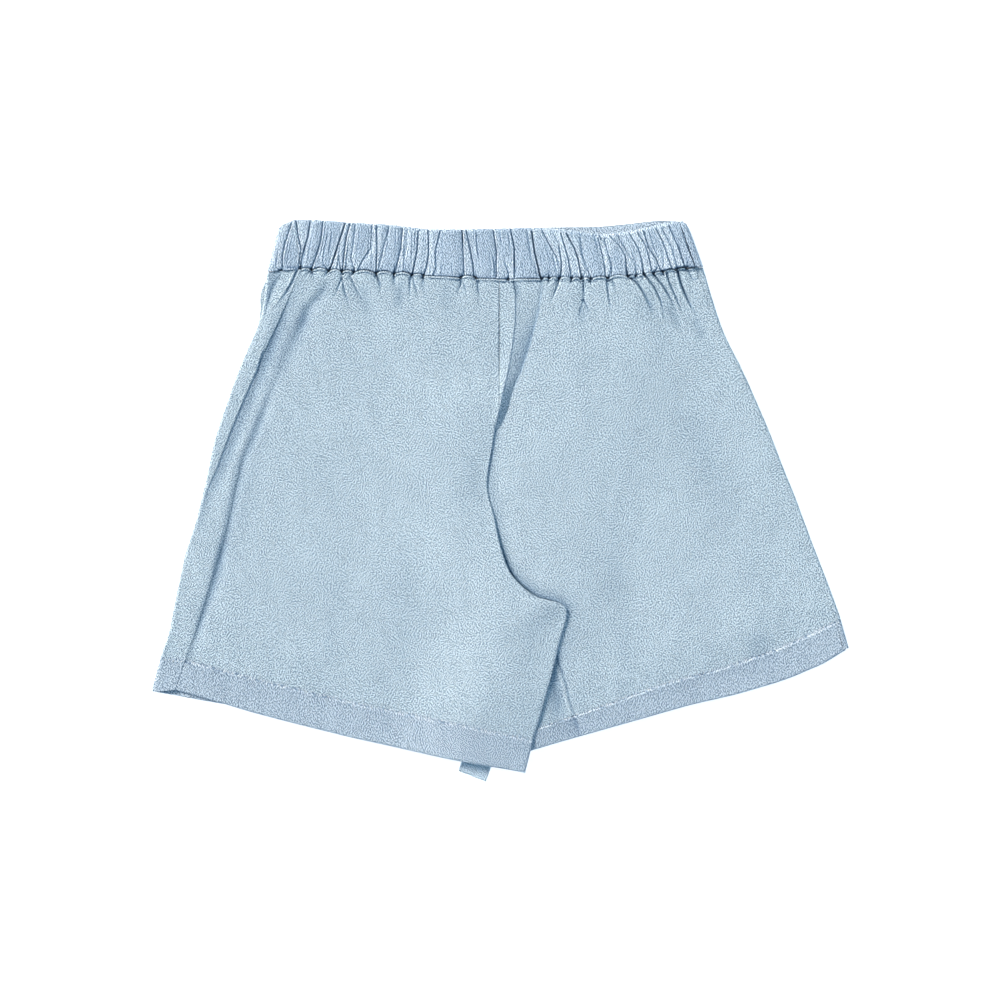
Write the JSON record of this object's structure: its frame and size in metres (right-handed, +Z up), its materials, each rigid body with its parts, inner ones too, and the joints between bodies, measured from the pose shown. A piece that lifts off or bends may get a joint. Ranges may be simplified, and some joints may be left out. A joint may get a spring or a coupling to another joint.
{
  "type": "denim skort",
  "caption": "Child's light-blue denim skort laid flat, back up: gathered elastic back waistband, two wide turned-up legs, a flat front flap and the end of a narrow tie.",
  "frame": {"origin": "the centre of the garment's outline, on the surface that it lies on", "axes": "+Z up from the surface, +Y from the hems to the waistband, +X across the garment to the wearer's right side as it lies with its back up"},
  "size_m": [0.453, 0.3644, 0.0123],
  "materials": {
    "denim": "matte light-blue chambray denim",
    "waistband_denim": "matte light-blue chambray denim, gathered",
    "hem_denim": "matte light-blue chambray denim, two layers",
    "tie_denim": "matte light-blue chambray denim"
  },
  "bodies": {
    "root": {"waistband_back": "waistband_denim", "waistband_front": "waistband_denim", "back_left": "denim", "back_right": "denim", "front_left": "denim", "front_right": "denim", "hem_back_left": "hem_denim", "hem_back_right": "hem_denim", "hem_front_left": "hem_denim", "hem_front_right": "hem_denim", "front_flap": "denim", "tie": "tie_denim"}
  },
  "joints": []
}
